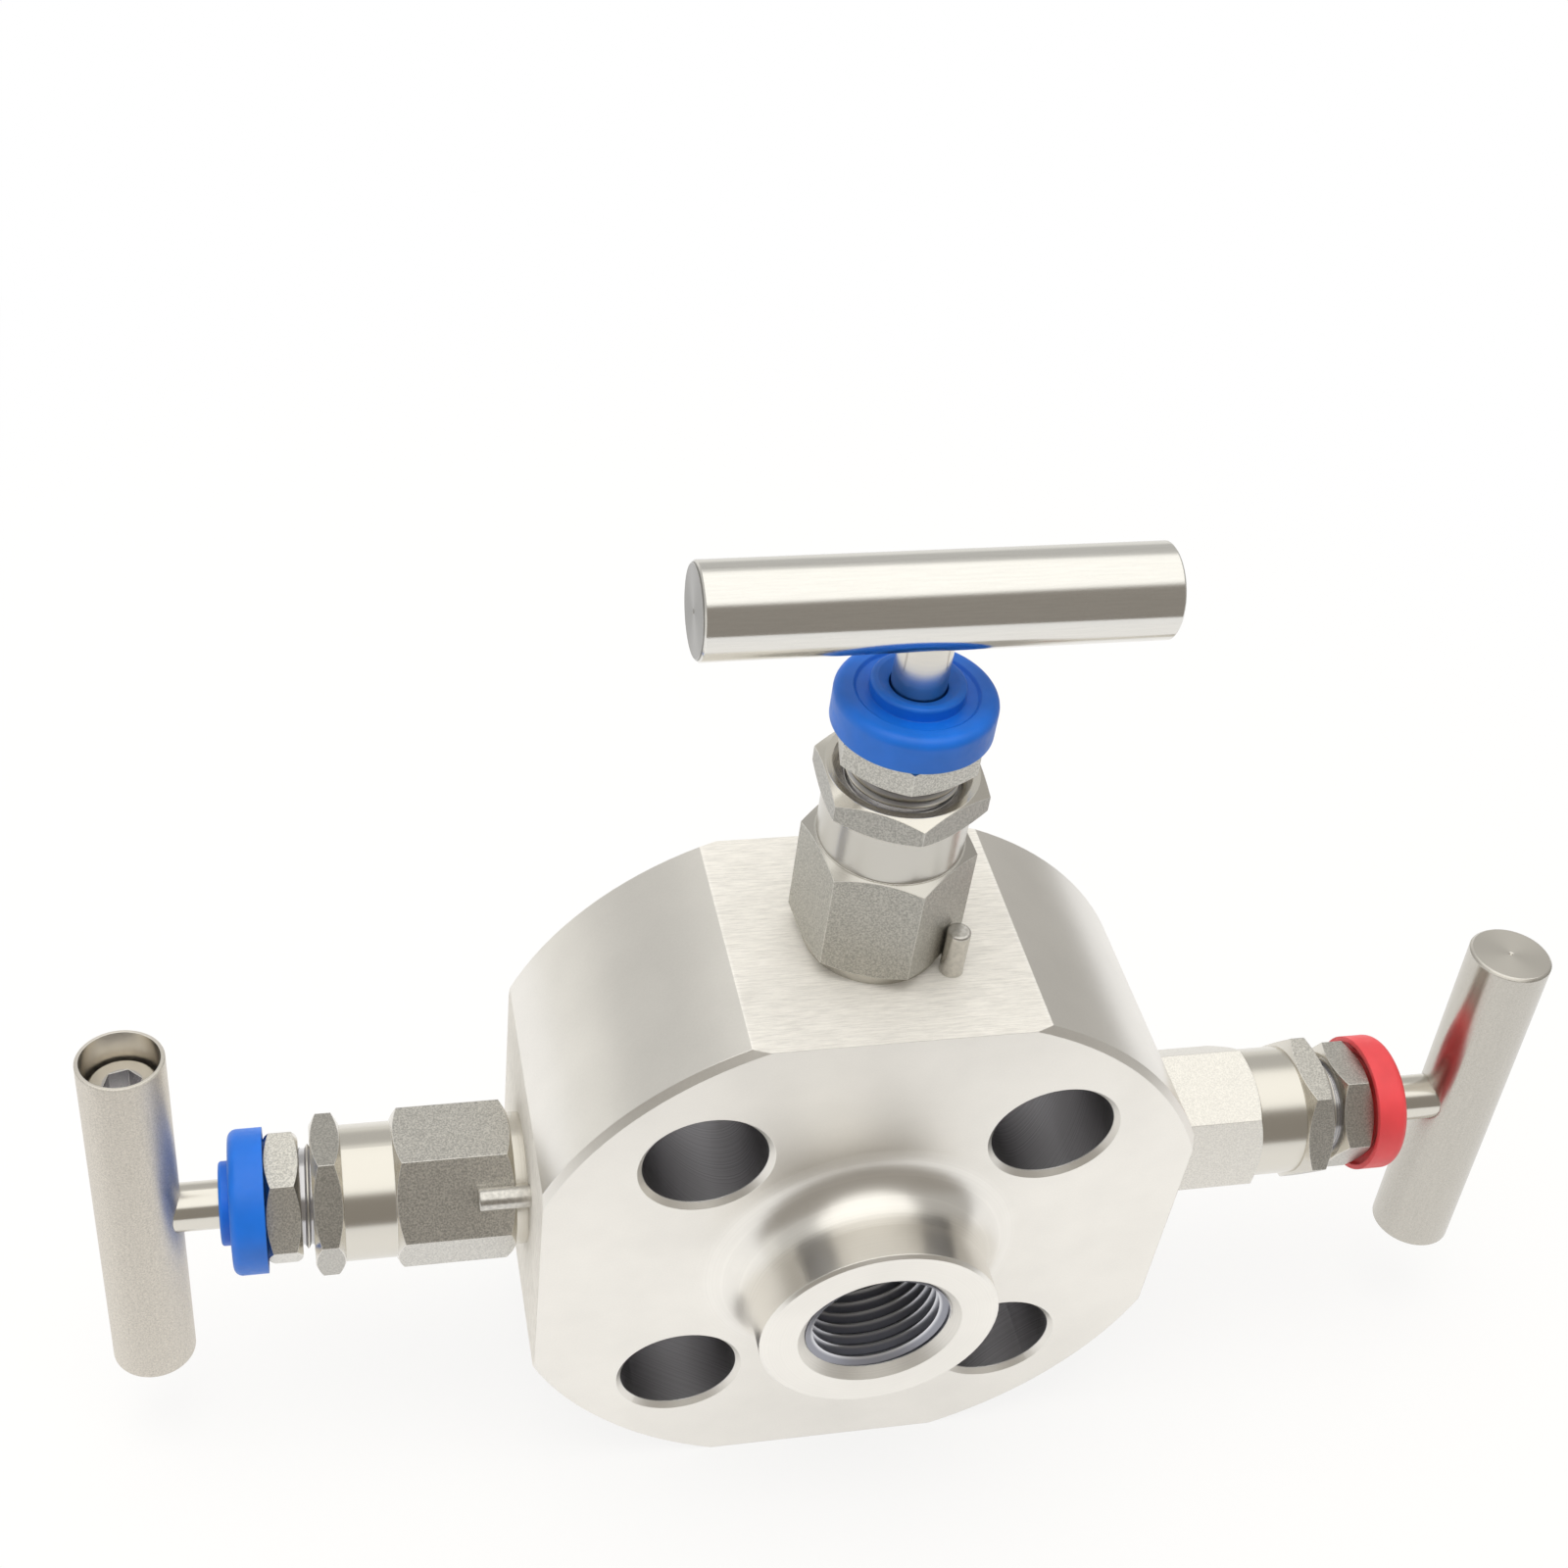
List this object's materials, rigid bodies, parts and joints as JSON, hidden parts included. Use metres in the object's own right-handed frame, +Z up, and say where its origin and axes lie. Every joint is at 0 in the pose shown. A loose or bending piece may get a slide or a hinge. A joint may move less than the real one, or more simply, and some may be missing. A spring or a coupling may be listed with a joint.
{
  "type": "instrument valve manifold",
  "caption": "Flanged block and bleed manifold: thick flange block with flats, outlet boss, and needle valves with T-bar handles standing on the flats.",
  "frame": {"origin": "centre of the raised sealing face, at the mouth of the inlet bore", "axes": "+Y along the flange axis into the process pipe, +Z up along the top valve's stem, +X to the vent valve"},
  "size_m": [0.2773, 0.074, 0.1993],
  "materials": {
    "flange_steel": "satin machined stainless steel",
    "machined_steel": "machined stainless steel",
    "blasted_steel": "blasted stainless steel",
    "polished_steel": "polished stainless steel",
    "bar_steel": "satin stainless steel bar",
    "pin_steel": "ground dowel steel",
    "screw_steel": "stainless steel",
    "soft_iron": "soft iron",
    "packing_ptfe": "white PTFE",
    "blue_cap": "moulded blue polyethylene",
    "red_cap": "moulded red polyethylene"
  },
  "bodies": {
    "manifold": {"flange_body": "flange_steel", "top_bonnet": "machined_steel", "top_bonnet_seal": "soft_iron", "top_lock_pin": "pin_steel", "top_lock_nut": "blasted_steel", "top_gland_nut": "blasted_steel", "top_packing_washer": "machined_steel", "top_packing": "packing_ptfe", "top_gland_ring": "machined_steel", "top_dust_cap": "blue_cap", "left_bonnet": "machined_steel", "left_bonnet_seal": "soft_iron", "left_lock_pin": "pin_steel", "left_lock_nut": "blasted_steel", "left_gland_nut": "blasted_steel", "left_packing_washer": "machined_steel", "left_packing": "packing_ptfe", "left_gland_ring": "machined_steel", "left_dust_cap": "blue_cap", "vent_bonnet": "machined_steel", "vent_bonnet_seal": "soft_iron", "vent_lock_pin": "pin_steel", "vent_lock_nut": "blasted_steel", "vent_gland_nut": "blasted_steel", "vent_packing_washer": "machined_steel", "vent_packing": "packing_ptfe", "vent_gland_ring": "machined_steel", "vent_dust_cap": "red_cap"},
    "top_needle_body": {"top_needle": "polished_steel"},
    "top_spindle": {"top_stem": "polished_steel", "top_tee_bar": "bar_steel", "top_clamp_screw": "screw_steel"},
    "left_needle_body": {"left_needle": "polished_steel"},
    "left_spindle": {"left_stem": "polished_steel", "left_tee_bar": "bar_steel", "left_clamp_screw": "screw_steel"},
    "vent_needle_body": {"vent_needle": "polished_steel"},
    "vent_spindle": {"vent_stem": "polished_steel", "vent_tee_bar": "bar_steel", "vent_clamp_screw": "screw_steel"}
  },
  "joints": [
    {"name": "top_needle_travel", "type": "slide", "parent": "manifold", "child": "top_needle_body", "axis": [0, 0, 1], "range_m": [0, 0.00375]},
    {"name": "top_handle_turn", "type": "hinge", "parent": "top_needle_body", "child": "top_spindle", "pos_m": [0, -0.0325, 0.0596], "axis": [0, 0, 1], "range_deg": [0, 900]},
    {"name": "left_needle_travel", "type": "slide", "parent": "manifold", "child": "left_needle_body", "axis": [-1, 0, 0], "range_m": [0, 0.00375]},
    {"name": "left_handle_turn", "type": "hinge", "parent": "left_needle_body", "child": "left_spindle", "pos_m": [-0.0596, -0.0325, 0], "axis": [-1, 0, 0], "range_deg": [0, 900]},
    {"name": "vent_needle_travel", "type": "slide", "parent": "manifold", "child": "vent_needle_body", "axis": [1, 0, 0], "range_m": [0, 0.00375]},
    {"name": "vent_handle_turn", "type": "hinge", "parent": "vent_needle_body", "child": "vent_spindle", "pos_m": [0.0596, -0.0325, 0], "axis": [1, 0, 0], "range_deg": [0, 900]}
  ],
  "couplings": [
    {"joint": "top_needle_travel", "follows": "top_handle_turn", "m_per_rad": 0.00023873},
    {"joint": "left_needle_travel", "follows": "left_handle_turn", "m_per_rad": 0.00023873},
    {"joint": "vent_needle_travel", "follows": "vent_handle_turn", "m_per_rad": 0.00023873}
  ]
}
